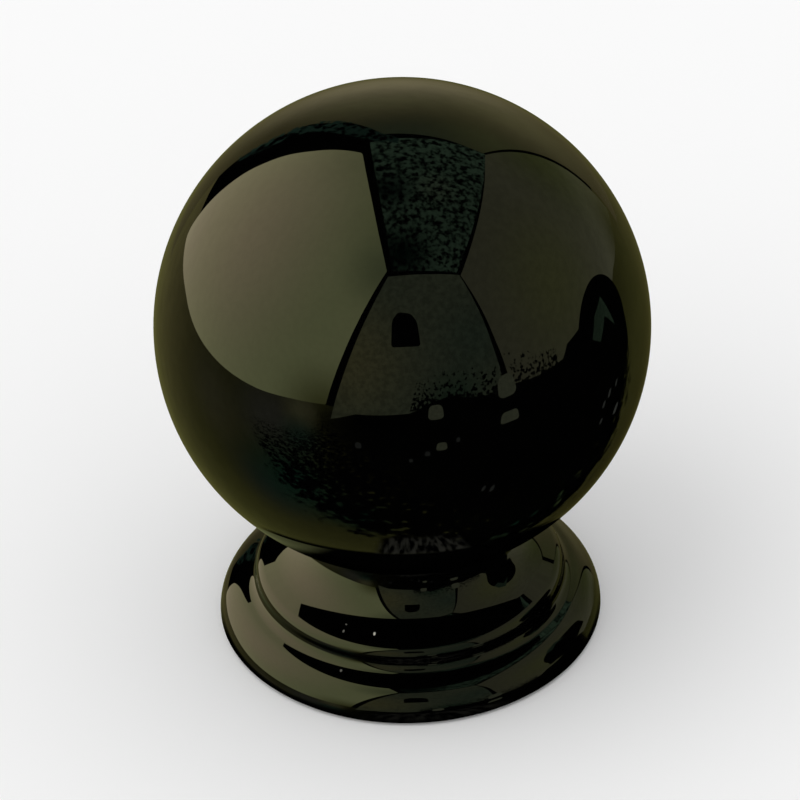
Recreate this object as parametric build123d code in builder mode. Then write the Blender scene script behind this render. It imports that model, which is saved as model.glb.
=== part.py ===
from build123d import *
from math import acos, asin, cos, radians, sqrt, tan
import os

# Ball knob, turned from one piece of metal and finished in gloss black.
# A full ball for the fingers stands on a narrow waist, which sweeps out into a foot with two
# steps. A machine screw enters the foot from behind the door or drawer front and draws the
# flat underside up against it.
# Lengths are millimetres and angles degrees. +Z is up the knob, and the origin is the centre
# of the underside, from which every height is measured.

# Ball
ball_diameter = 32.0
ball_centre_height = 23.1

# Waist between the ball and the foot
neck_diameter = 13.1
neck_root_radius = 0.4  # left by the nose of the turning tool where the neck meets the ball
cove_radius = 3.6  # hollow that opens the neck out into the apron

# Collar, the upper step of the foot, with a sloping apron on top
collar_diameter = 19.9
collar_edge_height = 4.05
apron_slope = 23.5
collar_edge_radius = 0.85

# Flange, the lower step, with a sloping top and a full round rim
flange_diameter = 24.7
flange_edge_height = 2.0
flange_slope = 17.3
flange_edge_radius = 2.25
step_fillet_radius = 0.85  # hollow in the corner between the flange and the collar
underside_chamfer = 0.3

# Blind hole for an M4 screw, drilled, tapped and countersunk at its mouth
thread_diameter = 4.0
thread_depth = 11.0
tap_drill_diameter = 3.3
tap_drill_depth = 14.0
drill_point_angle = 118.0
mouth_diameter = 4.8
mouth_angle = 90.0

# Share of a straight that its roundings may use up, so that a little of it is always left
usable_share = 0.98

# Half sizes
ball_radius = ball_diameter / 2
neck_radius = neck_diameter / 2
collar_radius = collar_diameter / 2
flange_radius = flange_diameter / 2
thread_radius = thread_diameter / 2
tap_drill_radius = tap_drill_diameter / 2

# Heights that follow from the two slopes and from where the neck runs into the ball
step_height = flange_edge_height + (flange_radius - collar_radius) * tan(radians(flange_slope))
waist_height = collar_edge_height + (collar_radius - neck_radius) * tan(radians(apron_slope))
ball_joint_height = ball_centre_height - sqrt(ball_radius**2 - neck_radius**2)
drill_point_height = tap_drill_radius / tan(radians(drill_point_angle / 2))


def fitted_radii(points, radii):
    """Cut back each corner's rounding only where the straights beside it are too short."""
    runs = [Vector(*end) - Vector(*start) for start, end in zip(points, points[1:])]
    turns = [acos(a.dot(b) / (a.length * b.length)) for a, b in zip(runs, runs[1:])]
    setbacks = [radius * tan(turn / 2) for radius, turn in zip(radii, turns)]
    needed = [before + after for before, after in zip([0.0] + setbacks, setbacks + [0.0])]
    excess = [max(1.0, need / (usable_share * run.length)) for need, run in zip(needed, runs)]
    return [radius / max(pair) for radius, pair in zip(radii, zip(excess, excess[1:]))]


# Sharp corners of the foot and the neck, from the axis outwards and up to the ball, and the
# radius that rounds each one. The ends of the path have none.
corners = [
    (0, 0),
    (flange_radius - underside_chamfer, 0),
    (flange_radius, underside_chamfer),
    (flange_radius, flange_edge_height),
    (collar_radius, step_height),
    (collar_radius, collar_edge_height),
    (neck_radius, waist_height),
    (neck_radius, ball_joint_height),
]
wanted_radii = [
    0,
    0,
    flange_edge_radius,
    step_fillet_radius,
    collar_edge_radius,
    cove_radius,
    neck_root_radius,
]

# The ball leaves the neck along its tangent, which is the run beyond the last corner
joint_angle = asin(neck_radius / ball_radius)
along_tangent = (neck_radius + ball_radius * cos(joint_angle), ball_joint_height + neck_radius)
*foot_radii, root_radius = fitted_radii(corners + [along_tangent], wanted_radii)

with BuildPart() as ball_knob:
    # Half section of the turned form, spun about the knob's axis
    with BuildSketch(Plane.XZ) as half_section:
        with BuildLine():
            foot = FilletPolyline(*corners, radius=foot_radii)
            ball = ThreePointArc(
                foot @ 1,
                (ball_radius, ball_centre_height),
                (0, ball_centre_height + ball_radius),
            )
            Line(ball @ 1, foot @ 0)
        make_face()
        joint_point = Vector(neck_radius, ball_joint_height)
        fillet(half_section.vertices().sort_by_distance(joint_point)[0], radius=root_radius)
    revolve(axis=Axis.Z)

    # Screw hole from the underside: thread at its major diameter, tapping drill, drill point
    underside = Plane(origin=(0, 0, 0), z_dir=(0, 0, -1))
    with Locations(underside):
        CounterSinkHole(
            radius=thread_radius,
            counter_sink_radius=mouth_diameter / 2,
            depth=thread_depth,
            counter_sink_angle=mouth_angle,
        )
        Hole(radius=tap_drill_radius, depth=tap_drill_depth)
    with Locations((0, 0, tap_drill_depth)):
        Cone(
            bottom_radius=tap_drill_radius,
            top_radius=0,
            height=drill_point_height,
            align=(Align.CENTER, Align.CENTER, Align.MIN),
            mode=Mode.SUBTRACT,
        )

ball_knob.part.label = "ball_knob"

os.makedirs("parts", exist_ok=True)
export_step(ball_knob.part, "parts/ball_knob.step")

size = ball_knob.part.bounding_box().size
print(f"ball_knob: {size.X:.2f} x {size.Y:.2f} x {size.Z:.2f} mm")
print(f"volume {ball_knob.part.volume:.0f} cubic mm")
print("corner radii " + ", ".join(f"{radius:.2f}" for radius in (*foot_radii, root_radius)))
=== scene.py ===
# %% [markdown]
# # A gloss black ball knob
# The real knob is one piece of turned metal: a full ball, a short waist and a foot with two steps.
# It is coated in black lacquer that dries to a mirror. Almost nothing that the eye sees on it is
# its own colour: the picture is made by exact curves, by a very smooth coat, and by what stands
# around it. So this lesson has three tasks: a form without a single flat facet, a coat that
# reflects as clear lacquer does, and a small studio of cards that gives the coat something to show.

# %% Load the frame
import math

import bmesh
import bpy
import numpy as np
from mathutils import Matrix, Vector
from mathutils.bvhtree import BVHTree


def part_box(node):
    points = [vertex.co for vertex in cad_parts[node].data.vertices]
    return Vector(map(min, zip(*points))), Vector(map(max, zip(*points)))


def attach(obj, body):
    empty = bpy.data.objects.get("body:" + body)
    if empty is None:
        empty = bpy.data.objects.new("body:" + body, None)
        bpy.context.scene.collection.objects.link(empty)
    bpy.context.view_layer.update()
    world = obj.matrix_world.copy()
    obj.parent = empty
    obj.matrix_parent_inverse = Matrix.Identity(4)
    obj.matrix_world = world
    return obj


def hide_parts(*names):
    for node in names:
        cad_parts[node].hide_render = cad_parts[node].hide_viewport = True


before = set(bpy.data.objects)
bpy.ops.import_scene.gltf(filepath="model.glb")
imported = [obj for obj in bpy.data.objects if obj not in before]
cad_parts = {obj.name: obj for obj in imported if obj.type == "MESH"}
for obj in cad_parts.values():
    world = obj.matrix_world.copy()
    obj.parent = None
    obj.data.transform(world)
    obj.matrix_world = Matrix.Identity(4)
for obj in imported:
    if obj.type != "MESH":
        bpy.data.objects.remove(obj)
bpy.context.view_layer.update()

MM = 0.001
scene = bpy.context.scene
low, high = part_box("ball_knob")
print("the solid spans", [round(v / MM, 2) for v in low], "to", [round(v / MM, 2) for v in high])

# %% [markdown]
# ## The section of the turned form
# A lathe cuts this shape, so one half section spun about the axis describes all of it. The solid
# in the frame has the right form, but it is made of flat triangles, and a mirror finish shows
# them along every outline. Smooth shading alone would leave the outline faceted, and a subdivision
# surface would soften the corners and so change the size. Spinning the same section again with
# many more steps keeps the size and gives clean quads, so that is the way taken here.
# The section is a path of straight runs, and each corner between two runs is rounded by a true
# arc. Each point also keeps the direction that its surface faces, because a mirror doubles every
# error in it, and Blender's own averaged normals bend near the end of an arc.

# %% Sizes of the section, in millimetres and degrees
BALL_RADIUS = 16.0
BALL_CENTRE = 23.1
NECK_RADIUS = 6.55
NECK_ROOT = 0.4
COVE = 3.6
COLLAR_RADIUS = 9.95
COLLAR_EDGE_HEIGHT = 4.05
APRON_SLOPE = 23.5
COLLAR_EDGE = 0.85
FLANGE_RADIUS = 12.35
FLANGE_EDGE_HEIGHT = 2.0
FLANGE_SLOPE = 17.3
FLANGE_EDGE = 2.25
STEP_FILLET = 0.85
UNDERSIDE_CHAMFER = 0.3
THREAD_RADIUS = 2.0
THREAD_DEPTH = 11.0
DRILL_RADIUS = 1.65
DRILL_DEPTH = 14.0
DRILL_POINT = 118.0
MOUTH_RADIUS = 2.4
EDGE_BREAK = 0.06  # the least rounding that a coated edge has


def rise(run, slope):
    """Height gained along a sloping run."""
    return run * math.tan(math.radians(slope))


step_height = FLANGE_EDGE_HEIGHT + rise(FLANGE_RADIUS - COLLAR_RADIUS, FLANGE_SLOPE)
waist_height = COLLAR_EDGE_HEIGHT + rise(COLLAR_RADIUS - NECK_RADIUS, APRON_SLOPE)
joint_angle = math.asin(NECK_RADIUS / BALL_RADIUS)
joint_height = BALL_CENTRE - BALL_RADIUS * math.cos(joint_angle)
drill_tip = DRILL_DEPTH + rise(DRILL_RADIUS, 90 - DRILL_POINT / 2)
print(f"step {step_height:.2f}, waist {waist_height:.2f}, ball joint {joint_height:.2f} mm up")


# %% Straight runs and arcs, each as points with the direction that the surface faces
EDGE_BREAK_STEPS = 4


def facing(direction):
    """The metal lies to the left of the path, so its surface faces right."""
    return Vector((direction.y, -direction.x))


def straight(start, end):
    """A straight run, as its two ends."""
    normal = facing((end - start).normalized())
    return [(start, normal), (end, normal)]


def arc(centre, start, turn, steps):
    """An arc through start, by a signed angle. It bulges out of the metal where it turns left."""
    side = math.copysign(1, turn)
    spokes = [Matrix.Rotation(turn * i / steps, 2) @ (start - centre) for i in range(steps + 1)]
    return [(centre + spoke, side * spoke.normalized()) for spoke in spokes]


def rounded_path(points, radii, steps):
    """Runs of a path of straight lines with its inner corners rounded."""
    runs, start = [], points[0]
    for before, corner, after, radius in zip(points, points[1:], points[2:], radii):
        back, on = (before - corner).normalized(), (after - corner).normalized()
        half = back.angle(on) / 2
        setback = radius / math.tan(half)
        runs.append(straight(start, corner + back * setback))
        start = corner + on * setback
        if radius:
            turn = math.copysign(math.pi - 2 * half, on.cross(back))
            centre = corner + (back + on).normalized() * (radius / math.sin(half))
            fineness = steps if radius > EDGE_BREAK else EDGE_BREAK_STEPS
            runs.append(arc(centre, corner + back * setback, turn, fineness))
    return runs + [straight(start, points[-1])]


# %% The whole half section: down the hole from its drill point, round the foot and over the ball
ARC_STEPS = 22
BALL_STEPS = 128
corners = [
    ((0, drill_tip), 0),
    ((DRILL_RADIUS, DRILL_DEPTH), 0),
    ((DRILL_RADIUS, THREAD_DEPTH), 0),
    ((THREAD_RADIUS, THREAD_DEPTH), 0),
    ((THREAD_RADIUS, MOUTH_RADIUS - THREAD_RADIUS), 0),
    ((MOUTH_RADIUS, 0), EDGE_BREAK),
    ((FLANGE_RADIUS - UNDERSIDE_CHAMFER, 0), EDGE_BREAK),
    ((FLANGE_RADIUS, UNDERSIDE_CHAMFER), EDGE_BREAK),
    ((FLANGE_RADIUS, FLANGE_EDGE_HEIGHT), FLANGE_EDGE),
    ((COLLAR_RADIUS, step_height), STEP_FILLET),
    ((COLLAR_RADIUS, COLLAR_EDGE_HEIGHT), COLLAR_EDGE),
    ((NECK_RADIUS, waist_height), COVE),
    ((NECK_RADIUS, joint_height), NECK_ROOT),
    ((NECK_RADIUS + BALL_RADIUS * math.cos(joint_angle), joint_height + NECK_RADIUS), 0),
]
points = [Vector(place) for place, radius in corners]
section = rounded_path(points, [radius for place, radius in corners[1:-1]], ARC_STEPS)

# The last run only aimed the root's arc along the ball's tangent, so the ball takes its place
section.pop()
middle = Vector((0, BALL_CENTRE))
ball_start = section[-1][-1][0]
to_the_top = math.pi - (ball_start - middle).angle(Vector((0, -1)))
section.append(arc(middle, ball_start, to_the_top, BALL_STEPS))
print(sum(len(run) for run in section), "points in the half section")


# %% Spin it into quads that keep those directions
SAME_PLACE = 1e-6


def link(obj):
    """Put an object in the scene and hand it back."""
    scene.collection.objects.link(obj)
    return obj


def spun(name, runs, spin_steps):
    """A closed mesh of revolution in metres, whose path starts and ends on the axis."""
    angles = np.linspace(0, 2 * math.pi, spin_steps, endpoint=False)
    circle = np.stack([np.cos(angles), np.sin(angles)], 1)
    steps = [(a, b) for run in runs for a, b in zip(run, run[1:]) if (b[0] - a[0]).length > SAME_PLACE]
    rings, verts, faces, normals = [], [], [], []
    for point in [steps[0][0][0]] + [b[0] for a, b in steps]:
        on_axis = abs(point.x) < SAME_PLACE
        first = len(verts)
        rings.append([first] * spin_steps if on_axis else range(first, first + spin_steps))
        around = circle[:1] * 0 if on_axis else circle * point.x
        verts += [(x * MM, y * MM, point.y * MM) for x, y in around]
    for (a, b), one, two in zip(steps, rings, rings[1:]):
        for i in range(spin_steps):
            j = (i + 1) % spin_steps
            loop = [(one[i], i, a[1]), (one[j], j, a[1]), (two[j], j, b[1]), (two[i], i, b[1])]
            loop = [k for n, k in enumerate(loop) if k[0] not in [m[0] for m in loop[:n]]]
            faces.append([k[0] for k in loop])
            normals += [(*(circle[k[1]] * k[2].x), k[2].y) for k in loop]
    mesh = bpy.data.meshes.new(name)
    mesh.from_pydata(verts, [], faces)
    mesh.shade_smooth()
    mesh.normals_split_custom_set(normals)
    return link(bpy.data.objects.new(name, mesh))


SPIN_STEPS = 256
body = spun("turned_knob", section, SPIN_STEPS)
print(len(body.data.polygons), "faces on the turned form")

# %% Measure it against the solid before it stands in for it
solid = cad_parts["ball_knob"].data
skin = BVHTree.FromPolygons([v.co for v in solid.vertices], [p.vertices[:] for p in solid.polygons])
furthest = max(skin.find_nearest(v.co)[3] for v in body.data.vertices)
print(f"the turned form lies within {furthest / MM:.3f} mm of the solid")
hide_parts("ball_knob")
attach(body, "root")

# %% [markdown]
# ## The screw thread
# The foot holds an M4 thread, so that a screw can pull the knob up against a drawer front. A real
# tap cuts a groove into the wall. The solid stops at the bottom of that groove, so here the ridges
# between the grooves are added instead: one ridge swept along a helix. A displaced cylinder or a
# bump could fake it, but only real ridges catch light at the mouth of the hole.

# %% One helical ridge, in millimetres, turns and steps to a turn
PITCH = 0.7
CREST_RADIUS = 1.62
CREST_WIDTH = PITCH / 4
ROOT_WIDTH = PITCH * 7 / 8
SINK = 0.03  # how far the ridge's root stands in the metal
THREAD_START = 0.45
THREAD_STEPS = 72
RUN_OUT = 0.75  # turns over which the ridge grows to its height at each end
THREAD_TIP = 0.05  # share of the height that it starts with, still inside the metal


def helix_ridge(name):
    """Four corners of the ridge's section, carried along the helix and joined into quads."""
    turns = (THREAD_DEPTH - THREAD_START - PITCH) / PITCH
    count = int(turns * THREAD_STEPS)
    wall = THREAD_RADIUS + SINK
    crest = [(CREST_RADIUS, -CREST_WIDTH), (CREST_RADIUS, CREST_WIDTH)]
    shape = [(wall, -ROOT_WIDTH), *crest, (wall, ROOT_WIDTH)]
    verts, faces = [], []
    for i in range(count + 1):
        angle = 2 * math.pi * i / THREAD_STEPS
        depth = THREAD_START + PITCH / 2 + PITCH * i / THREAD_STEPS
        from_end = min(i, count - i) / (RUN_OUT * THREAD_STEPS)
        grown = min(1, max(THREAD_TIP, from_end))
        for radius, width in shape:
            r = wall + (radius - wall) * grown
            verts.append((r * MM * math.cos(angle), r * MM * math.sin(angle), (depth + width / 2) * MM))
    size = len(shape)
    for i in range(count):
        for k in range(size):
            a, b = size * i + k, size * i + (k + 1) % size
            faces.append((a, a + size, b + size, b))
    faces += [tuple(range(size)), tuple(reversed(range(size * count, size * count + size)))]
    mesh = bpy.data.meshes.new(name)
    mesh.from_pydata(verts, [], faces)
    mesh.validate()
    print(f"thread: {turns:.1f} turns, {len(mesh.polygons)} faces")
    return link(bpy.data.objects.new(name, mesh))


thread = helix_ridge("screw_thread")
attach(thread, "root")


# %% [markdown]
# ## Shader maths as Python
# A finish is a formula over the surface. Wiring such a formula by hand takes dozens of nodes that
# nobody can read afterwards. The small class below wraps one output socket and lets Python's own
# operators add the Math nodes, so that a formula reads as one. It works from both sides, so that
# 1 - mask is as good as mask - 1.

# %% A socket that does arithmetic
class Field:
    """One output of a node. Arithmetic on it adds Math nodes to the same tree."""

    def __init__(self, tree, socket=None):
        self.tree = tree
        self.socket = socket

    def node(self, kind, settings=None, inputs=None, output=0):
        """Add any node: its type, its settings, then the values or links of its sockets."""
        node = self.tree.nodes.new(kind)
        for name, value in (settings or {}).items():
            setattr(node, name, value)
        for name, value in (inputs or {}).items():
            if isinstance(value, Field):
                self.tree.links.new(value.socket, node.inputs[name])
            else:
                node.inputs[name].default_value = value
        return Field(self.tree, node.outputs[output] if node.outputs else None)

    def other(self, output):
        """Another output of the same node."""
        return Field(self.tree, self.socket.node.outputs[output])

    def maths(self, operation, first, second=0.0):
        """One Math node."""
        return self.node("ShaderNodeMath", {"operation": operation}, {0: first, 1: second})

    def __add__(self, value):
        return self.maths("ADD", self, value)

    def __mul__(self, value):
        return self.maths("MULTIPLY", self, value)

    def __sub__(self, value):
        return self.maths("SUBTRACT", self, value)

    def __rsub__(self, value):
        return self.maths("SUBTRACT", value, self)

    def __truediv__(self, value):
        return self.maths("DIVIDE", self, value)

    def __rtruediv__(self, value):
        return self.maths("DIVIDE", value, self)

    def __pow__(self, value):
        return self.maths("POWER", self, value)

    def __rpow__(self, value):
        return self.maths("POWER", value, self)

    def __lt__(self, value):
        return self.maths("LESS_THAN", self, value)

    def __gt__(self, value):
        return self.maths("GREATER_THAN", self, value)

    __radd__ = __add__
    __rmul__ = __mul__

    def between(self, start, end):
        """0 at start and 1 at end, with a smooth rise in between."""
        settings = {"interpolation_type": "SMOOTHSTEP"}
        inputs = {"Value": self, "From Min": start, "From Max": end}
        return self.node("ShaderNodeMapRange", settings, inputs)

    def noise(self, place, scale, detail=2.0, roughness=0.5):
        """Soft noise around one half. Scale is how many of its lumps fit in a metre."""
        inputs = {"Vector": place, "Scale": scale, "Detail": detail, "Roughness": roughness}
        return self.node("ShaderNodeTexNoise", None, inputs)

    def blend(self, factor, first, second):
        """A colour that goes from first to second. A Math node would turn it grey."""
        # The Mix node's sockets for colours and for numbers share their names, so these go by place
        settings = {"data_type": "RGBA"}
        inputs = {"Factor": factor, 6: first, 7: second}
        return self.node("ShaderNodeMix", settings, inputs, 2)

    def bump(self, height, distance, below=None):
        """A relief of that depth in metres, on top of the relief below it."""
        inputs = {"Height": height, "Distance": distance, "Strength": 1.0}
        if below:
            inputs["Normal"] = below
        return self.node("ShaderNodeBump", None, inputs)


def new_material(name):
    """An empty material and a field to add its nodes with."""
    material = bpy.data.materials.new(name)
    material.use_nodes = True
    material.node_tree.nodes.clear()
    return material, Field(material.node_tree)


def finish(shader):
    """Wire a shader to the material's output."""
    shader.node("ShaderNodeOutputMaterial", None, {"Surface": shader})


# %% [markdown]
# ## Gloss black lacquer
# The real finish is a thick clear film over black, poured out so flat that it mirrors the room. At
# a film's first surface only about a twenty-fifth of the light comes back when it is seen square
# on, and nearly all of it along the outline. That is what an index of refraction of 1.5 does, and
# the colour under it is close to no light at all. A metal shader would be wrong here: it would
# mirror as strongly in the middle as at the edge. A second coat lobe would only blur the picture.
# What tells lacquer from glass is small. The film keeps a slow wave and a finer skin like the peel
# of an orange, a hand leaves a haze, and a few grains of dust were caught before it dried. Under
# the foot the film is thin, so that the rings of the turning tool show through it, and the tapped
# hole stays bare metal. Each is a formula over the surface, in real lengths.

# %% Colours, and the lengths and strengths of the film's faults
BLACK = (0.0004, 0.0004, 0.0004, 1)
BRASS = (0.56, 0.42, 0.2, 1)
FILM_INDEX = 1.5
FILM_ROUGHNESS = 0.012
HAZE_ROUGHNESS = 0.03
WAVE_LENGTH = 5.0 * MM
WAVE_HEIGHT = 0.006 * MM
PEEL_LENGTH = 0.9 * MM
PEEL_HEIGHT = 0.0004 * MM
DUST_SPACING = 5.0 * MM
DUST_SIZE = 0.12 * MM
DUST_HEIGHT = 0.012 * MM
DUST_SHARE = 0.35
TOOL_FEED = 0.18 * MM
TOOL_MARK = 0.003 * MM
TOOL_MARK_IN_HOLE = 0.5  # share of it
HAZE_PATCH = 9 * MM
PATCH_EDGE = (0.5, 0.72)
SMEAR_WIDTH = 1.2 * MM
SMEAR_EDGE = (0.3, 0.8)
THIN_FILM_DULLER = 0.14
BARE_METAL_DULLER = 0.26


# %% The lacquer, with the hole left bare
def gloss_black_lacquer():
    """Black under a clear film, with the film's faults."""
    material, field = new_material("gloss_black_lacquer")
    place = field.node("ShaderNodeTexCoord", output="Object")
    axes = field.node("ShaderNodeSeparateXYZ", None, {"Vector": place})
    across, along, height = axes, axes.other("Y"), axes.other("Z")
    radius = (across ** 2 + along ** 2) ** 0.5

    # Where the film is missing or thin
    in_hole = (radius < (MOUTH_RADIUS - EDGE_BREAK) * MM) * (height < (drill_tip + 1) * MM)
    underneath = (height < UNDERSIDE_CHAMFER * MM / 4) * (1 - in_hole)

    # The film's own relief, from the slowest wave to single grains
    wave = field.noise(place, 1 / WAVE_LENGTH, 1)
    peel = field.noise(place, 1 / PEEL_LENGTH, 2)
    grains = field.node("ShaderNodeTexVoronoi", None, {"Vector": place, "Scale": 1 / DUST_SPACING})
    chosen = field.node("ShaderNodeSeparateColor", None, {"Color": grains.other("Color")})
    grain = grains.between(DUST_SIZE / DUST_SPACING, 0) * (chosen < DUST_SHARE)
    rings = field.maths("SINE", radius * (2 * math.pi / TOOL_FEED), 0)
    relief = field.bump(wave, WAVE_HEIGHT)
    relief = field.bump(peel, PEEL_HEIGHT, relief)
    relief = field.bump(grain, DUST_HEIGHT, relief)
    relief = field.bump(rings * (underneath + in_hole * TOOL_MARK_IN_HOLE), TOOL_MARK, relief)

    # A hand's haze lies in broad patches, and the bare metal is duller again
    patches = field.noise(place, 1 / HAZE_PATCH, 3, 0.6)
    smears = field.noise(place, 1 / SMEAR_WIDTH)
    haze = patches.between(*PATCH_EDGE) * smears.between(*SMEAR_EDGE)
    roughness = haze * (HAZE_ROUGHNESS - FILM_ROUGHNESS) + FILM_ROUGHNESS
    roughness = roughness + underneath * THIN_FILM_DULLER + in_hole * BARE_METAL_DULLER

    shader = field.node("ShaderNodeBsdfPrincipled", None, {
        "Base Color": field.blend(in_hole, BLACK, BRASS),
        "Metallic": in_hole,
        "Roughness": roughness,
        "IOR": FILM_INDEX,
        "Normal": relief,
    })
    finish(shader)
    return material


lacquer = gloss_black_lacquer()
body.data.materials.append(lacquer)
print(len(lacquer.node_tree.nodes), "nodes in the lacquer")


# %% Bright cut metal for the thread
TARNISHED_BRASS = (0.33, 0.22, 0.09, 1)
STAIN_SIZE = 0.8 * MM
STAIN_EDGE = (0.3, 0.8)
BURR_SIZE = 0.12 * MM
BURR_HEIGHT = 0.004 * MM
CUT_ROUGHNESS = 0.24
STAINED_ROUGHNESS = 0.39


def cut_brass():
    """Brass as the tap left it, with small burrs and a little tarnish."""
    material, field = new_material("cut_brass")
    place = field.node("ShaderNodeTexCoord", output="Object")
    stain = field.noise(place, 1 / STAIN_SIZE, 3).between(*STAIN_EDGE)
    burr = field.noise(place, 1 / BURR_SIZE)
    shader = field.node("ShaderNodeBsdfPrincipled", None, {
        "Base Color": field.blend(stain, BRASS, TARNISHED_BRASS),
        "Metallic": 1.0,
        "Roughness": stain * (STAINED_ROUGHNESS - CUT_ROUGHNESS) + CUT_ROUGHNESS,
        "Normal": field.bump(burr, BURR_HEIGHT),
    })
    finish(shader)
    return material


thread.data.materials.append(cut_brass())
print(f"brass, with burrs {BURR_HEIGHT / MM} mm high")

# %% [markdown]
# ## The camera
# The knob is seen from 38 degrees above its foot, through a long lens from well back, which keeps
# the outline of the ball a circle and the ellipses of the foot shallow. It leans a little, so the
# camera is rolled by the same angle. The frame's centre falls below the middle of the ball, and
# the camera is moved there, without lens shift, so that a view from any other side stays true.

# %% A long lens from above
PICTURE = 800
BALL_IN_PICTURE = (402.3, 325.9)
BALL_RADIUS_IN_PICTURE = 249.0
VIEW_DROP = math.radians(38.0)
VIEW_ROLL = math.radians(1.73)
DISTANCE = 1.2
FILM_WIDTH = 36

ball_centre = Vector((0, 0, BALL_CENTRE * MM))
view = Vector((0, math.cos(VIEW_DROP), -math.sin(VIEW_DROP)))
level = Vector((1, 0, 0))
upright = level.cross(view)
right = level * math.cos(VIEW_ROLL) - upright * math.sin(VIEW_ROLL)
up = level * math.sin(VIEW_ROLL) + upright * math.cos(VIEW_ROLL)

# The outline of a ball is where sight lines graze it, so its angle is an arcsine
focal = BALL_RADIUS_IN_PICTURE / math.tan(math.asin(BALL_RADIUS * MM / DISTANCE))
aside = (BALL_IN_PICTURE[0] - PICTURE / 2) / focal * DISTANCE
above = (PICTURE / 2 - BALL_IN_PICTURE[1]) / focal * DISTANCE
stand = ball_centre - view * DISTANCE - right * aside - up * above

camera = link(bpy.data.objects.new("camera", bpy.data.cameras.new("camera")))
turned = Matrix((right, up, -view)).transposed().to_4x4()
camera.matrix_world = Matrix.Translation(stand) @ turned
camera.data.sensor_width = FILM_WIDTH
camera.data.lens = focal / PICTURE * FILM_WIDTH
camera.data.clip_start = 0.05
camera.data.clip_end = 20
scene.camera = camera
print(f"lens {camera.data.lens:.0f} mm from {DISTANCE} m")

# %% [markdown]
# ## The light tent
# A black mirror has no look of its own, so its studio is half of the picture. The knob stands in a
# tent of cloth walls: one wall is a large lit softbox, the others only pass on its light, and dark
# seams show between them. Lamps alone would put round spots on the ball and leave the rest black,
# and a picture of a room can't be used here. So each wall is a flat card that glows softly.
# A wall is laid out by what the ball sees of it: two angles give a direction from the ball's
# centre, and a few such directions are the corners of a card. The same angles place soft glows on
# the wall. The cards show only in reflections: they neither light the knob nor cast shadows, so
# the plain light on the floor and the tent can be set without upsetting each other.
# The tints on the knob are the tints of these cards. Lacquer adds no colour to what it mirrors.

# %% Directions from the ball, and cards laid out with them
TENT = 0.9  # metres from the ball's centre to a wall
DEPTH = 0.5  # metres from the ball's centre down to the table that it mirrors
EDGE_ROUNDING = 0.05
PORT_ROUNDING = 0.02
NO_LIGHT = (0.0, 0.0, 0.0, 1)


def toward(azimuth, elevation):
    """A direction. Azimuth 0 is the camera's side and grows to its right."""
    a, e = math.radians(azimuth), math.radians(elevation)
    return Vector((math.sin(a) * math.cos(e), -math.cos(a) * math.cos(e), math.sin(e)))


def seen_only_in_reflections(obj):
    """Part of the stage, which neither the camera nor the lamp meets."""
    obj.visible_camera = False
    obj.visible_diffuse = False
    obj.visible_transmission = False
    obj.visible_volume_scatter = False
    obj.visible_shadow = False
    return obj


def glowing(name, base, glows=(), mottle=0.0, grain=0.05, soft=0.2):
    """Light of one colour, with soft glows: azimuth, elevation, reach in degrees and colour."""
    material, field = new_material(name)
    place = field.node("ShaderNodeNewGeometry")
    ray = field.node("ShaderNodeVectorMath", {"operation": "SUBTRACT"}, {0: place, 1: ball_centre})
    ray = field.node("ShaderNodeVectorMath", {"operation": "NORMALIZE"}, {0: ray})
    colour = (*base, 1)
    for azimuth, elevation, reach, glow in glows:
        facing_it = {0: ray, 1: toward(azimuth, elevation)}
        near = field.node("ShaderNodeVectorMath", {"operation": "DOT_PRODUCT"}, facing_it, "Value")
        angle = field.maths("ARCCOSINE", near, 0)
        colour = field.blend(angle.between(math.radians(reach), 0), colour, (*glow, 1))
    shadow = field.noise(ray, 1 / grain, 3, 0.6).between(0.5 - soft, 0.5 + soft)
    colour = field.blend((1 - shadow) * mottle, colour, NO_LIGHT)
    finish(field.node("ShaderNodeEmission", None, {"Color": colour, "Strength": 1.0}))
    return material


def flat_card(name, outline, material, rounding=0.0):
    """A flat card through these points, with its corners cut round."""
    shape = bmesh.new()
    verts = [shape.verts.new(place) for place in outline]
    shape.faces.new(verts)
    if rounding:
        bmesh.ops.bevel(shape, geom=verts, offset=rounding, segments=8, profile=0.5, affect="VERTICES")
    mesh = bpy.data.meshes.new(name)
    shape.to_mesh(mesh)
    shape.free()
    mesh.materials.append(material)
    across = max((a - b).length for a in outline for b in outline)
    print(f"{name}: {len(mesh.vertices)} corners, {across / MM:.0f} mm across")
    return seen_only_in_reflections(link(bpy.data.objects.new(name, mesh)))


def wall(name, corners, material, distance=TENT, rounding=0.0):
    """A card square on to the ball's centre, from the directions of its corners."""
    rays = [toward(*corner) for corner in corners]
    square_on = sum(rays, Vector()).normalized()
    outline = [ball_centre + ray * (distance / ray.dot(square_on)) for ray in rays]
    return flat_card(name, outline, material, rounding)


def level_card(name, corners, material):
    """A level card below the knob, out to the directions of its corners."""
    rays = [toward(*corner) for corner in corners]
    return flat_card(name, [ball_centre - ray * (DEPTH / ray.z) for ray in rays], material)


# %% The softbox, the hottest wall
softbox = glowing("softbox", (1.34, 1.44, 0.68), [
    (-90, 88, 36, (1.05, 1.15, 0.52)),
    (-165, 52, 30, (0.9, 1.0, 0.45)),
    (-15, 62, 26, (0.7, 0.8, 0.38)),
    (-34, -8, 30, (0.4, 0.42, 0.12)),
    (-136, -6, 40, (1.15, 1.0, 0.65)),
    (-112, 26, 62, (2.08, 1.78, 1.06)),
], mottle=0.05)
wall("softbox", [
    (-142, -13.5), (-122, -11.5), (-105, -12), (-93, -11.5), (-65, -8.5), (-50, -5.5), (-34.5, -3),
    (-13.5, 62.5), (-162, 51), (-149.5, 33.5), (-144.5, 17), (-142.5, 2),
], softbox, TENT, EDGE_ROUNDING)

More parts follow.
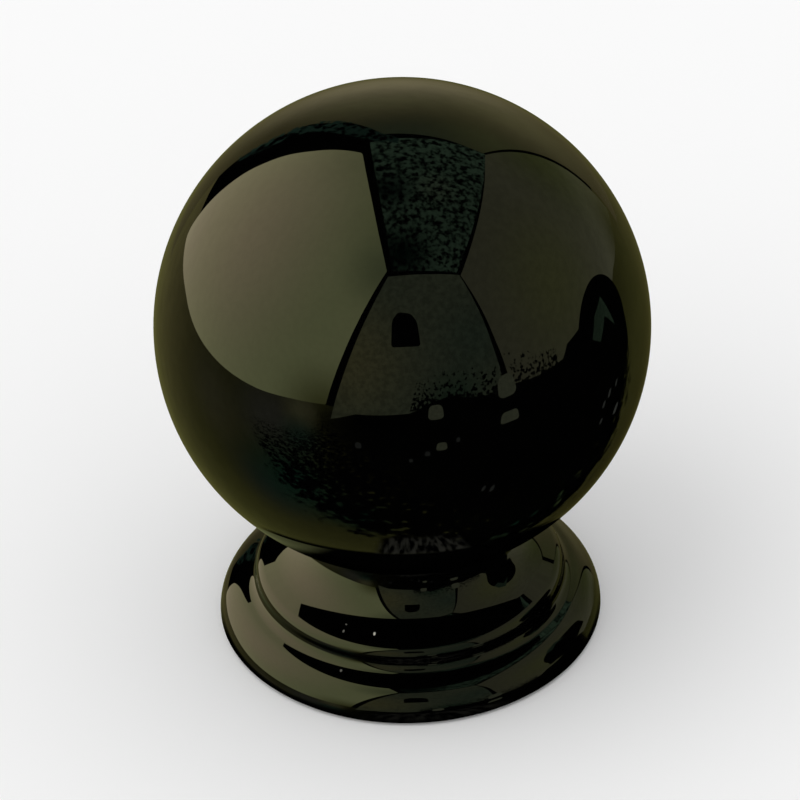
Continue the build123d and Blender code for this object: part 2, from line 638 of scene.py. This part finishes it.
# %% The front wall, with the dark opening that the lens looks through
front = glowing("front_cloth", (0.3, 0.35, 0.21), [
    (-28, 20, 40, (0.54, 0.52, 0.24)),
    (38, 25, 30, (0.2, 0.28, 0.18)),
    (22, 1, 22, (0.12, 0.22, 0.13)),
], mottle=0.35, grain=0.04)
wall("front_cloth", [
    (-32, -9), (-21, -4.5), (2, -3), (11, 1), (19, 3), (30, 0), (44.5, -3), (44.3, 20), (46.6, 52.6),
    (-11.5, 60),
], front)
black = glowing("black_cloth", (0.0, 0.0, 0.0))
lens_port = [(-6, 28), (9, 28), (8.7, 39), (5.5, 43), (-2.5, 44), (-6.2, 40)]
wall("lens_port", lens_port, black, TENT * 0.9, PORT_ROUNDING)

# %% The right wall
side = glowing("side_cloth", (0.37, 0.37, 0.22), [
    (88, 20, 40, (0.44, 0.46, 0.19)),
    (145, 15, 32, (0.23, 0.26, 0.09)),
    (138, -16, 20, (0.12, 0.12, 0.03)),
], mottle=0.15)
wall("side_cloth", [
    (47.5, -1), (60, -3.8), (68, -4.5), (75, -5), (79, -1.5), (108, -1.5), (113, -9), (122, -9),
    (145, -14), (145, 37.5), (47.3, 52), (46.5, 20),
], side)

# %% The back wall, which the outline mirrors
back = glowing("back_cloth", (0.16, 0.14, 0.06), [
    (150, 30, 25, (0.28, 0.3, 0.12)),
    (180, 52, 35, (0.16, 0.22, 0.12)),
    (160, 6, 26, (0.36, 0.33, 0.15)),
    (-178, 14, 24, (0.38, 0.36, 0.17)),
    (-179, -4, 24, (0.5, 0.44, 0.25)),
], mottle=0.1)
wall("back_cloth", [
    (146.5, -30), (-147, -30), (-152, -8), (-154, 5), (-156.5, 10.5), (-160.5, 15), (-163.5, 23),
    (-166.5, 27), (-171, 36), (-175, 42), (146, 38),
], back)

# %% The roof, a thin green shade in folds
roof = glowing("roof_cloth", (0.2, 0.34, 0.21), [
    (137, 69, 12, (0.3, 0.42, 0.26)),
    (2, 71, 20, (0.0, 0.02, 0.01)),
    (-165, 76, 14, (0.03, 0.06, 0.04)),
], mottle=1.0, grain=0.038, soft=0.12)
wall("roof_cloth", [(-7.5, 62.5), (46, 54), (145.2, 37), (-168, 46)], roof)


# %% Balls of the stage, first the dark tent frame behind all seams
def stage_ball(name, centre, radius, material, fineness):
    """A ball that only reflections show."""
    shape = bmesh.new()
    place = Matrix.Translation(centre)
    bmesh.ops.create_icosphere(shape, subdivisions=fineness, radius=radius, matrix=place)
    mesh = bpy.data.meshes.new(name)
    shape.to_mesh(mesh)
    shape.free()
    mesh.materials.append(material)
    print(f"{name}: a ball of {radius / MM:.1f} mm radius")
    return seen_only_in_reflections(link(bpy.data.objects.new(name, mesh)))


FRAME_RADIUS = TENT * 10
FRAME_FINENESS = 3
stage_ball("tent_frame", Vector(), FRAME_RADIUS, black, FRAME_FINENESS)

# %% [markdown]
# ## The table that the knob mirrors
# The lower half of the ball and much of the foot mirror the table. It is olive cloth, painted paler
# towards the softbox and darker in the knob's shade close under it. In front of the knob it is black:
# partly a black cloth laid on it, and partly painted shade, the shadow of the knob and of its dark
# neighbour on the table. Its edges break up into specks. The pale floor of the studio can't play this
# part, because a mirror would show it white. So a second table hangs below the floor, and only
# reflections find it. The black is a mask over the table, built from a few slanted lines. Each line is a
# sum that is nought along it, and noise is added to that sum before it is cut, which frays the edge.

# %% Olive cloth, painted paler towards the softbox and darker in the knob's shade close under it
table = glowing("table_cloth", (0.13, 0.13, 0.035), [
    # Glows darker than the cloth, low down, are painted shade where the table lies close under the knob
    (155, -50, 36, (0.05, 0.045, 0.012)),
    (-135, -8, 52, (0.26, 0.23, 0.09)),
    (165, -8, 36, (0.14, 0.12, 0.045)),
    (-92, -24, 22, (0.2, 0.19, 0.09)),
    (-60, -18, 26, (0.19, 0.19, 0.14)),
    (-46, -9, 12, (0.38, 0.37, 0.18)),
    (-75, -50, 22, (0.07, 0.09, 0.06)),
    (-46, -22, 13, (0.1, 0.19, 0.12)),
    (-55, -44, 27, (0.03, 0.12, 0.07)),
    (-30, -60, 18, (0.02, 0.09, 0.05)),
    (105, -66, 20, (0.02, 0.09, 0.05)),
], mottle=0.15)

# %% Black cloth and painted shade on it, with lengths as shares of the table's depth below the ball
FRAY = 0.065


def lay_black_cloth_and_shade(material):
    """Black cloth and painted shade in front of the knob, with edges at the left, in front and at the
    right of it.
    """
    field = Field(material.node_tree)
    light = field.tree.nodes["Emission"]
    olive = Field(field.tree, light.inputs["Color"].links[0].from_socket)
    place = field.node("ShaderNodeNewGeometry")
    axes = field.node("ShaderNodeSeparateXYZ", None, {"Vector": place})
    across, along = axes / DEPTH, axes.other("Y") / DEPTH
    away = (across ** 2 + along ** 2) ** 0.5
    ragged_noise = field.noise(place, 1 / (FRAY * DEPTH), 2, 0.6) - 0.5

    def edge(line, fray, bare, covered):
        """Cloth begins between two values of a sum, which the noise shifts by fray."""
        return (line + ragged_noise * fray).between(bare, covered)

    left = edge(across * 0.9 - along * 0.43 + 1.1, 9, -0.15, 0.15)
    corner = edge(across - along * 0.73 + 0.1, 2, -0.2, 0.2)
    left = left * field.maths("MAXIMUM", corner, edge(away, 9, 3.7, 3.1))
    front = edge(across * 0.29 - along - 0.2, 0.7, -0.08, 0.08)
    right = across.between(0.04, 0.14) * edge(across * 0.33 - along + 0.4, 0.6, -0.05, 0.08)
    # Black where the cloth lies and where the painted shade of the knob and its neighbour falls
    cloth = field.blend(left * field.maths("MAXIMUM", front, right), olive, NO_LIGHT)
    field.tree.links.new(cloth.socket, light.inputs["Color"])


lay_black_cloth_and_shade(table)
level_card("table_cloth", [
    (-33, -3), (0, -3), (46, -3), (88, -6), (145, -9), (180, -12), (-146, -9), (-90, -6), (-50, -3),
], table)

# %% [markdown]
# ## A dark ball to the right
# On its right the knob mirrors a dark round thing with a pale highlight in it, and the dark runs on down
# to the table. A painted spot on the wall would sit in one place only, while a real thing near by shows
# in the ball, the waist and the foot, each time in the place and size that its distance gives. So a dark
# ball stands beside the knob, on a dark drum, with a small glowing card before it as its painted
# highlight.

# %% The ball, the drum under it and the card of painted highlight
NEIGHBOUR = Vector((60, 2, 17)) * MM
NEIGHBOUR_RADIUS = 17 * MM
NEIGHBOUR_FINENESS = 6
SKIRT_RADIUS = 16.5
SKIRT_FOOT = 5
SKIRT_STEPS = 64
HIGHLIGHT_PLACE = Vector((-18.5, -2, 6)) * MM

stage_ball("neighbour", NEIGHBOUR, NEIGHBOUR_RADIUS, black, NEIGHBOUR_FINENESS)
rim, foot = Vector((SKIRT_RADIUS, NEIGHBOUR_RADIUS / MM)), Vector((SKIRT_RADIUS, SKIRT_FOOT))
drum = [straight(foot, rim), straight(rim, Vector((0, rim.y)))]
skirt = spun("neighbour_skirt", drum, SKIRT_STEPS)
skirt.location = (NEIGHBOUR.x, NEIGHBOUR.y, 0)
skirt.data.materials.append(black)
seen_only_in_reflections(skirt)
# A pale green glow, painted highlight of the dark ball
pale_green = glowing("neighbour_highlight", (0.12, 0.2, 0.12), mottle=0.6, grain=0.012)
highlight = [(2.1, 4.8), (3.7, -4.0), (0.4, 0.8), (-4.2, -2.5), (-7.0, 0.1), (-3.5, 3.7)]
highlight_centre = NEIGHBOUR + HIGHLIGHT_PLACE
flat_card("neighbour_highlight", [highlight_centre + Vector((0, y, z)) * MM for y, z in highlight], pale_green)

# %% [markdown]
# ## Torn edges of the cloth
# Two walls end in a torn edge in the picture: the front wall along its foot, and the back wall
# along the dark seam beside the softbox. A card with a finely cut outline would need thousands of
# corners. A card with holes does it with one mask: where the mask is 1 the card is there, and
# elsewhere it lets everything through. The mask is fine noise, and a slope taken off it thins the
# threads out with the distance from the edge.

# %% Cards with holes
def open_card(name, mask_of):
    """Black, or a faint light, where the mask is 1 and nothing at all where it is 0."""
    material, field = new_material(name)
    mask, colour = mask_of(field)
    light = field.node("ShaderNodeEmission", None, {"Color": colour, "Strength": 1.0})
    clear = field.node("ShaderNodeBsdfTransparent")
    finish(field.node("ShaderNodeMixShader", None, {0: mask, 1: clear, 2: light}))
    return material


# %% The two fringes, which hang just inside their walls
FRINGE_DISTANCE = TENT * 0.85
LEAN_OF_EDGE = 0.13
TEAR_EDGE = (0.46, 0.54)
SEAM_GREEN = (0.045, 0.1, 0.07, 1)


def torn(size, cover, thinning, colour):
    """Threads of one size. Cover adds to them, and they thin out upwards and to the right."""
    def mask_of(field):
        place = field.node("ShaderNodeNewGeometry")
        axes = field.node("ShaderNodeSeparateXYZ", None, {"Vector": place})
        from_edge = axes.other("Z") + axes * LEAN_OF_EDGE
        threads = field.noise(place, 1 / size, 2, 0.6) + cover - from_edge * thinning
        return threads.between(*TEAR_EDGE), colour
    return mask_of


black_threads = open_card("front_fringe", torn(0.024, 0.09, 0.9, NO_LIGHT))
wall("front_fringe", [
    (-5, 7), (8, 12), (18, 15), (28, 15), (39, 14), (49, 13), (58, 9), (66, 4), (75, 0), (73, -7),
    (62, -6), (53, -4.2), (36, -4.6), (26.5, -2.6), (17, 0.2), (-5, -3),
], black_threads, FRINGE_DISTANCE)
green_threads = open_card("roof_fringe", torn(0.03, 0.0, 0.0, SEAM_GREEN))
wall("roof_fringe", [
    (-153.6, -4.3), (-154.1, 2.7), (-156.9, 8.8), (-160.7, 12.8), (-164.6, 22.3), (-168.6, 30.4),
    (-174, 41.3), (179, 45.4), (179, 49.2), (-172.7, 47.4), (-165.1, 40.7), (-160.6, 31.8), (-158, 22.1),
    (-153.4, 14.5), (-150.7, 7.3), (-151, -1.2),
], green_threads, FRINGE_DISTANCE)

# %% [markdown]
# ## The table close to the foot
# The rim of the foot and the underside of the ball see the table right beside the knob. There it lies in
# the knob's own shadow, painted here as a black half ring. Just in front of it is an arc of short pale
# strokes of painted reflection, standing in for the lit foot as the underside of the ball mirrors it.
# The lamp's true shadow is on the floor, which reflections don't show, so this one is a ring on a card
# at the table's height. It is laid out by the distance from the axis.

# %% A half ring of painted shadow and an arc of painted reflection
# Each pair of lengths is where a mask is nought and where it is whole
SHADOW_REACH = 20 * MM
SHADOW_EDGE = (13.8 * MM, 12.9 * MM)
SHADOW_ENDS = (3 * MM, -3 * MM)
STROKES_INNER = (12.6 * MM, 13.4 * MM)
STROKES_OUTER = (19.6 * MM, 18 * MM)
STROKES_LEFT = (-4.5 * MM, -3 * MM)
STROKES_RIGHT = (8 * MM, 5.5 * MM)
STROKE_WIDTH = 0.7 * MM
STROKE_STRETCH = (1, 0.22, 1)
STROKE_REFLECTION_GLOW = (0.1, 0.1, 0.08, 1)


def shadow_on_the_table(field):
    """A half ring in front of the axis, black but for the strokes."""
    place = field.node("ShaderNodeNewGeometry")
    axes = field.node("ShaderNodeSeparateXYZ", None, {"Vector": place})
    across, along = axes, axes.other("Y")
    radius = (across ** 2 + along ** 2) ** 0.5
    shadow = radius.between(*SHADOW_EDGE) * along.between(*SHADOW_ENDS)

    # An arc of painted reflection just in front of the foot, in short strokes
    strip = radius.between(*STROKES_INNER) * radius.between(*STROKES_OUTER)
    strip = strip * across.between(*STROKES_LEFT) * across.between(*STROKES_RIGHT) * (along < 0)
    stretch = {0: place, 1: STROKE_STRETCH}
    stretched = field.node("ShaderNodeVectorMath", {"operation": "MULTIPLY"}, stretch)
    strokes = field.noise(stretched, 1 / STROKE_WIDTH).between(0.4, 0.62)
    light = field.blend(strip * strokes, NO_LIGHT, STROKE_REFLECTION_GLOW)
    return field.maths("MAXIMUM", shadow, strip), light


square = [Vector((x, y, 0)) * SHADOW_REACH for x, y in ((-1, -1), (1, -1), (1, 1), (-1, 1))]
flat_card("table_shadow", square, open_card("table_shadow", shadow_on_the_table))

# %% [markdown]
# ## Where the knob mirrors itself
# The foot mirrors the ball and the ball mirrors the foot. A picture of a picture on black lacquer
# holds a twenty-fifth of a twenty-fifth of the light, and in the photograph nothing is left of it
# but black. Left alone, the renderer would still show it faintly wherever the first mirror is seen
# at a slant. So a dark twin stands a hair's breadth outside the knob and meets reflections only.
# It is clear from its inner side: a reflection gets out to the studio through it, and only one that
# comes back to the knob meets it. At the left of the foot it keeps a faint olive light, because the
# picture keeps one there.

# %% A dark twin just outside the knob
GAP = 0.05  # in millimetres
OLIVE_SIDE = (-7.5 * MM, -10 * MM)
OLIVE_TOP = (6 * MM, 4.5 * MM)
OLIVE_LEFT = (0.13, 0.14, 0.06, 1)


def outside_only(field):
    """The twin's mask and colour: there from outside only, with olive low down on its left."""
    place = field.node("ShaderNodeNewGeometry")
    from_inside = place.other("Backfacing")
    axes = field.node("ShaderNodeSeparateXYZ", None, {"Vector": place})
    left_of_foot = axes.between(*OLIVE_SIDE) * axes.other("Z").between(*OLIVE_TOP)
    return 1 - from_inside, field.blend(left_of_foot, NO_LIGHT, OLIVE_LEFT)


outer_runs = [run for run in section if run[0][0].x > MOUTH_RADIUS and run[0][0].y > EDGE_BREAK]
outer_runs = [[(point + normal * GAP, normal) for point, normal in run] for run in outer_runs]
dark_twin = spun("knob_seen_in_itself", outer_runs, SPIN_STEPS)
dark_twin.data.materials.append(open_card("knob_seen_in_itself", outside_only))
seen_only_in_reflections(dark_twin)
print(len(dark_twin.data.polygons), "faces on the dark twin")

# %% Two specks of light under the ball, which the foot mirrors
SPECK_RADIUS = 0.1
SPECK_FINENESS = 6
specks = [(-23, -58, 8.0), (-43, -55, 2.0)]
for number, (azimuth, elevation, strength) in enumerate(specks):
    speck = glowing(f"speck_{number}", (strength, strength, strength * 0.85))
    place = ball_centre + toward(azimuth, elevation) * (BALL_RADIUS + GAP + SPECK_RADIUS) * MM
    stage_ball(f"speck_{number}", place, SPECK_RADIUS * MM, speck, SPECK_FINENESS)

# %% [markdown]
# ## Scraps of light low down in front
# The dark lower half of the ball isn't empty. A few small pale patches float in it, the kind that
# stray paper or a bright edge in a studio gives. Small cards nearer to the knob than the walls
# bring them back. Each is laid out by its middle and its size, all in degrees, and leans in a
# little at the top.

# %% Small cards, each with its azimuth, elevation, width, height and light
SCRAP_DISTANCE = TENT * 0.4
SCRAP_TOP = 0.8
SCRAP_ROUNDING = 0.6
pale = glowing("pale_scrap", (0.46, 0.5, 0.31), mottle=0.4, grain=0.01)
dim = glowing("dim_scrap", (0.16, 0.17, 0.15), mottle=0.3, grain=0.01)
scraps = [
    (13, -3, 7, 7, pale), (45, 0, 9, 10, pale), (45, -14, 9, 5, pale), (15, -20, 5, 4, pale),
    (-20, -19, 3, 3, dim), (22, -18, 2, 2.5, dim), (9, -23, 2.5, 2.5, dim), (2, -26, 2, 2, dim),
    (38, -47, 2, 3, dim), (43, -48, 2.5, 3.5, dim), (104, -32, 2, 2.5, dim), (101, -34, 2, 2, dim),
    (115, -39, 3, 2.5, dim), (109, -31, 1.5, 2.5, dim), (103, -39, 2, 1.5, dim),
]
for number, (azimuth, elevation, width, height, light) in enumerate(scraps):
    w, h = width / 2, height / 2
    shape = [(-w, -h), (w, -h), (w * SCRAP_TOP, h), (-w * SCRAP_TOP, h)]
    corners = [(azimuth + x, elevation + y) for x, y in shape]
    rounding = SCRAP_DISTANCE * math.radians(h) * SCRAP_ROUNDING
    wall(f"scrap_{number}", corners, light, SCRAP_DISTANCE, rounding)

# %% [markdown]
# ## Floor, daylight and one soft lamp
# The floor is a plain pale sheet. A world of even light keeps it clean, and one wide lamp from the
# upper left gives the soft shadow that sets the foot down on it. Only the floor has a matt surface
# to catch them, because the lacquer gives back almost no diffuse light. A brighter world would
# bleach the floor and lose that shadow, so the world lights things a little less than white, and
# the camera, mirrors and glass see it as plain white.
# The floor lies a hair below the foot, because two faces in one place flicker, and it can be
# looked through from below, so that the underside and the tapped hole can be seen.

# %% Floor, which can be looked through from below
FLOOR = 4.0
FLOOR_GAP = 0.02
PALE = (0.93, 0.93, 0.93, 1)
material, field = new_material("pale_floor")
from_below = field.node("ShaderNodeNewGeometry", output="Backfacing")
matt = field.node("ShaderNodeBsdfDiffuse", None, {"Color": PALE})
clear = field.node("ShaderNodeBsdfTransparent")
finish(field.node("ShaderNodeMixShader", None, {0: from_below, 1: matt, 2: clear}))
mesh = bpy.data.meshes.new("floor")
quarters = [(-FLOOR, -FLOOR, 0), (FLOOR, -FLOOR, 0), (FLOOR, FLOOR, 0), (-FLOOR, FLOOR, 0)]
mesh.from_pydata(quarters, [], [(0, 1, 2, 3)])
mesh.materials.append(material)
floor = link(bpy.data.objects.new("floor", mesh))
floor.location.z = -FLOOR_GAP * MM
floor.visible_glossy = False
print(f"floor {2 * FLOOR} m wide, {FLOOR_GAP} mm below the foot")

# %% Even daylight
DAYLIGHT = 0.9
world = bpy.data.worlds.new("daylight")
world.use_nodes = True
world.node_tree.nodes.clear()
scene.world = world
field = Field(world.node_tree)
in_view = field.node("ShaderNodeLightPath", output="Is Camera Ray")
seen = field.maths("MAXIMUM", in_view, in_view.other("Is Glossy Ray"))
seen = field.maths("MAXIMUM", seen, in_view.other("Is Transmission Ray"))
strength = seen * (1 - DAYLIGHT) + DAYLIGHT
sky = field.node("ShaderNodeBackground", None, {"Color": (1, 1, 1, 1), "Strength": strength})
field.node("ShaderNodeOutputWorld", None, {"Surface": sky})
print("daylight of", DAYLIGHT)

# %% One wide lamp from the upper left
LAMP_STRENGTH = 0.55
LAMP_WIDTH = math.radians(50)
LAMP_PLACE = (-60, 55)

lamp = bpy.data.lights.new("soft_lamp", "SUN")
lamp.energy = LAMP_STRENGTH
lamp.angle = LAMP_WIDTH
sun = link(bpy.data.objects.new("soft_lamp", lamp))
sun.rotation_euler = (-toward(*LAMP_PLACE)).to_track_quat("-Z", "Y").to_euler()
sun.visible_glossy = False
print(f"lamp of strength {LAMP_STRENGTH} from {LAMP_PLACE} degrees")

# %% Colours as written
scene.view_settings.view_transform = "Standard"
